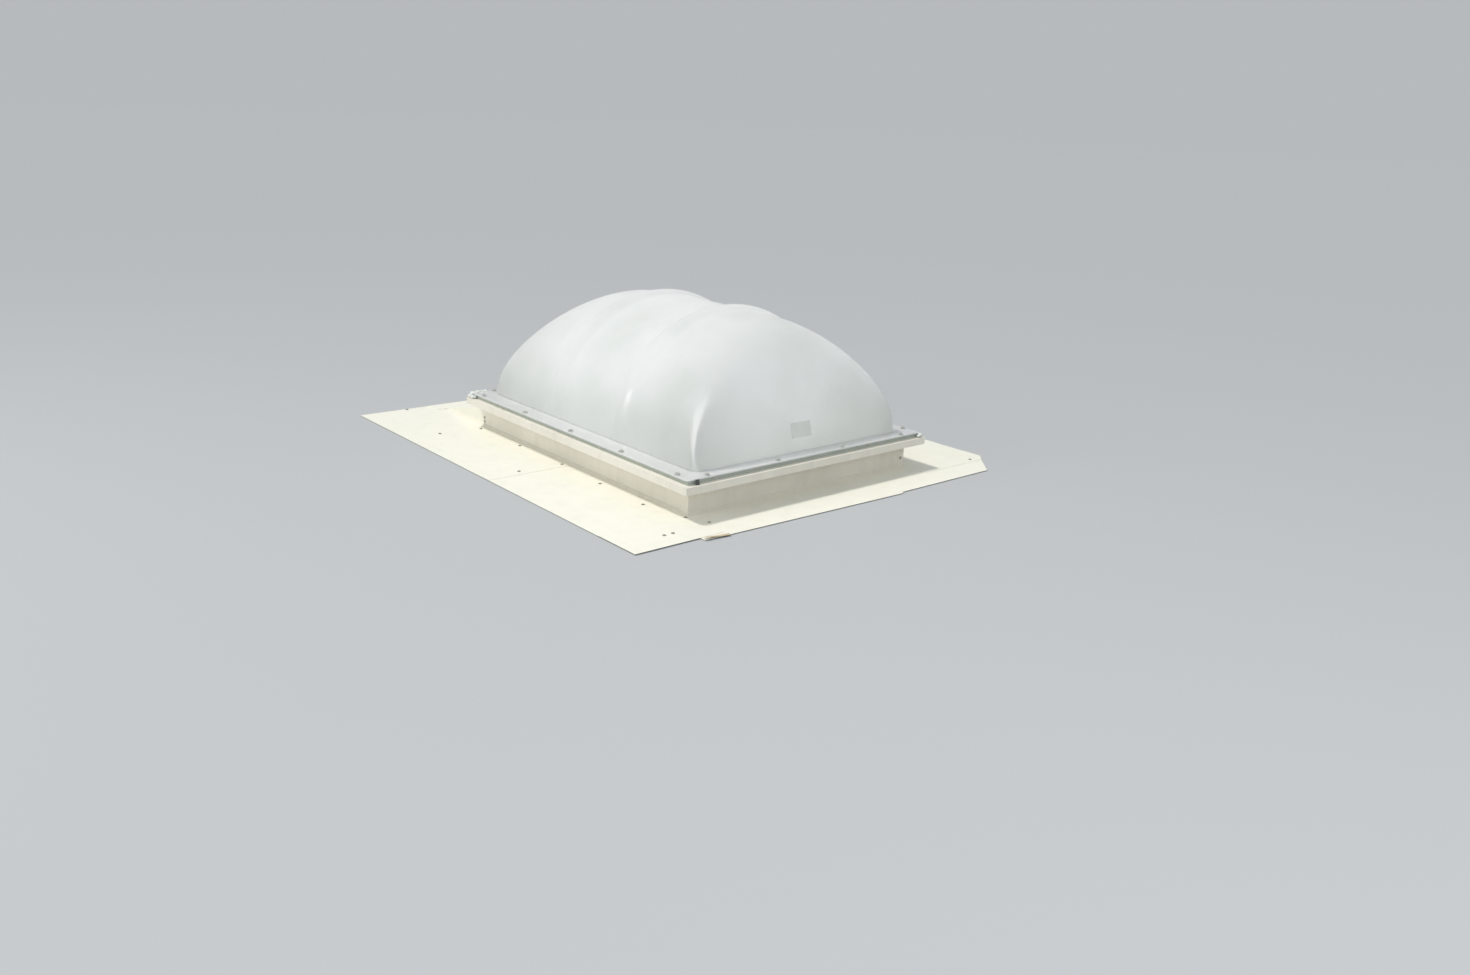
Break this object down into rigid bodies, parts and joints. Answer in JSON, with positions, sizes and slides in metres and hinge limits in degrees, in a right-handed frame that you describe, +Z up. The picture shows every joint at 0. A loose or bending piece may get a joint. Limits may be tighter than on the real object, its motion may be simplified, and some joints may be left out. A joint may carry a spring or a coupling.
{
  "type": "roof skylight",
  "caption": "Ribbed translucent dome skylight on a folded sheet-metal curb, with lapped roof flashing strips and a sloping back saddle.",
  "frame": {"origin": "On the underside of the base flange (Z = 0, the roof surface), under the middle of the whole part's outline in plan.", "axes": "Z is up, away from the roof. Y runs along the long side of the dome, from the front, which faces the camera on the right of the picture, at -Y to the saddle at +Y. X runs across it, with the long left side at -X."},
  "size_m": [1.501, 1.672, 0.5009],
  "materials": {
    "glazing": "frosted white translucent, thermoformed, lightly weathered",
    "curb_sheet": "satin warm beige pre-painted sheet steel",
    "flashing_sheet": "satin cream pre-painted sheet steel",
    "gasket": "matte grey-green closed-cell rubber",
    "fixings": "dull weathered zinc",
    "sealant": "matte beige sealant"
  },
  "bodies": {
    "root": {"dome_shell": "glazing", "dome_screws": "fixings", "dome_washers": "fixings", "gasket_front": "gasket", "gasket_back": "gasket", "gasket_left": "gasket", "gasket_right": "gasket", "curb_front": "curb_sheet", "curb_right": "curb_sheet", "curb_back": "curb_sheet", "curb_left": "curb_sheet", "flashing_left_front": "flashing_sheet", "flashing_left_back": "flashing_sheet", "flashing_right": "flashing_sheet", "flashing_front_left": "flashing_sheet", "flashing_front_right": "flashing_sheet", "back_saddle": "flashing_sheet", "saddle_cheek_left": "flashing_sheet", "saddle_cheek_right": "flashing_sheet", "flashing_rivets": "fixings", "corner_rivets": "fixings", "cheek_rivets": "fixings", "sealant_bead": "sealant"}
  },
  "joints": []
}
